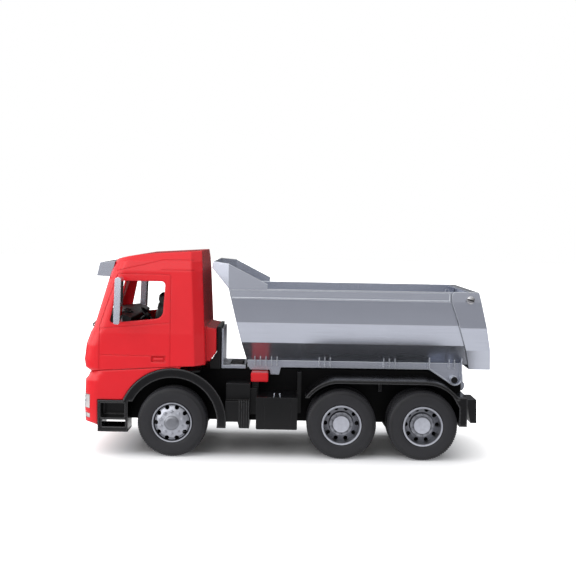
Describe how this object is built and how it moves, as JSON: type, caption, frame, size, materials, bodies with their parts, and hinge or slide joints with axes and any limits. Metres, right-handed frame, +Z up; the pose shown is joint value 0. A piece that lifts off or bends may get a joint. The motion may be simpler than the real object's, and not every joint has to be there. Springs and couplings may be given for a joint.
{
  "type": "toy dump truck",
  "caption": "Toy dump truck with a hollow cab, a half-octagon dump body that tips to the rear, a hinged tailgate and free-rolling wheels with twin rear tyres.",
  "frame": {"origin": "on the floor under the middle of the overall length and width", "axes": "+Z up, -X forwards (the cab), -Y to the truck's left"},
  "size_m": [0.6239, 0.2692, 0.3067],
  "materials": {
    "red_plastic": "gloss",
    "silver_plastic": "satin metallic",
    "black_plastic": "semi-gloss",
    "lamp_plastic": "gloss",
    "steel_rod": "bright",
    "tyre": "matt",
    "rim_plastic": "satin metallic"
  },
  "bodies": {
    "truck": {"cab_interior": "black_plastic", "cab_shell": "red_plastic", "chassis_frame": "black_plastic", "fog_lamps": "lamp_plastic", "front_axle_rod": "steel_rod", "front_bumper": "red_plastic", "front_fender_left": "black_plastic", "front_fender_right": "black_plastic", "grille_insert": "black_plastic", "headlights": "lamp_plastic", "intake_tower": "black_plastic", "middle_axle_rod": "steel_rod", "mirror_left": "silver_plastic", "mirror_right": "silver_plastic", "mudflap_left": "black_plastic", "mudflap_right": "black_plastic", "rear_axle_rod": "steel_rod", "rear_catch": "silver_plastic", "rear_mudguard_left": "black_plastic", "rear_mudguard_right": "black_plastic", "release_lever": "red_plastic", "side_boxes_left": "black_plastic", "side_boxes_right": "black_plastic", "steering_wheel": "black_plastic", "subframe": "silver_plastic", "sun_visor": "silver_plastic", "tipping_pin": "black_plastic"},
    "bed": {"dump_body": "silver_plastic", "bed_underframe": "silver_plastic", "gate_studs": "silver_plastic"},
    "tailgate": {"tailgate": "silver_plastic"},
    "front_wheel_left": {"front_tyre_left": "tyre", "front_rim_left": "rim_plastic"},
    "front_wheel_right": {"front_tyre_right": "tyre", "front_rim_right": "rim_plastic"},
    "middle_wheel_left": {"middle_tyre_left": "tyre", "middle_rim_left": "rim_plastic"},
    "middle_wheel_right": {"middle_tyre_right": "tyre", "middle_rim_right": "rim_plastic"},
    "rear_wheel_left": {"rear_tyre_left": "tyre", "rear_rim_left": "rim_plastic"},
    "rear_wheel_right": {"rear_tyre_right": "tyre", "rear_rim_right": "rim_plastic"}
  },
  "joints": [
    {"name": "bed_tip", "type": "hinge", "parent": "truck", "child": "bed", "pos_m": [0.2553, 0, 0.1143], "axis": [0, 1, 0], "range_deg": [0, 75]},
    {"name": "tailgate_swing", "type": "hinge", "parent": "bed", "child": "tailgate", "pos_m": [0.2654, 0, 0.2419], "axis": [0, -1, 0], "range_deg": [0, 75]},
    {"name": "front_wheel_left_spin", "type": "hinge", "parent": "truck", "child": "front_wheel_left", "pos_m": [-0.172, -0.084, 0.052], "axis": [0, 1, 0], "continuous": true},
    {"name": "front_wheel_right_spin", "type": "hinge", "parent": "truck", "child": "front_wheel_right", "pos_m": [-0.172, 0.084, 0.052], "axis": [0, 1, 0], "continuous": true},
    {"name": "middle_wheel_left_spin", "type": "hinge", "parent": "truck", "child": "middle_wheel_left", "pos_m": [0.08, -0.0735, 0.052], "axis": [0, 1, 0], "continuous": true},
    {"name": "middle_wheel_right_spin", "type": "hinge", "parent": "truck", "child": "middle_wheel_right", "pos_m": [0.08, 0.0735, 0.052], "axis": [0, 1, 0], "continuous": true},
    {"name": "rear_wheel_left_spin", "type": "hinge", "parent": "truck", "child": "rear_wheel_left", "pos_m": [0.201, -0.0735, 0.052], "axis": [0, 1, 0], "continuous": true},
    {"name": "rear_wheel_right_spin", "type": "hinge", "parent": "truck", "child": "rear_wheel_right", "pos_m": [0.201, 0.0735, 0.052], "axis": [0, 1, 0], "continuous": true}
  ]
}
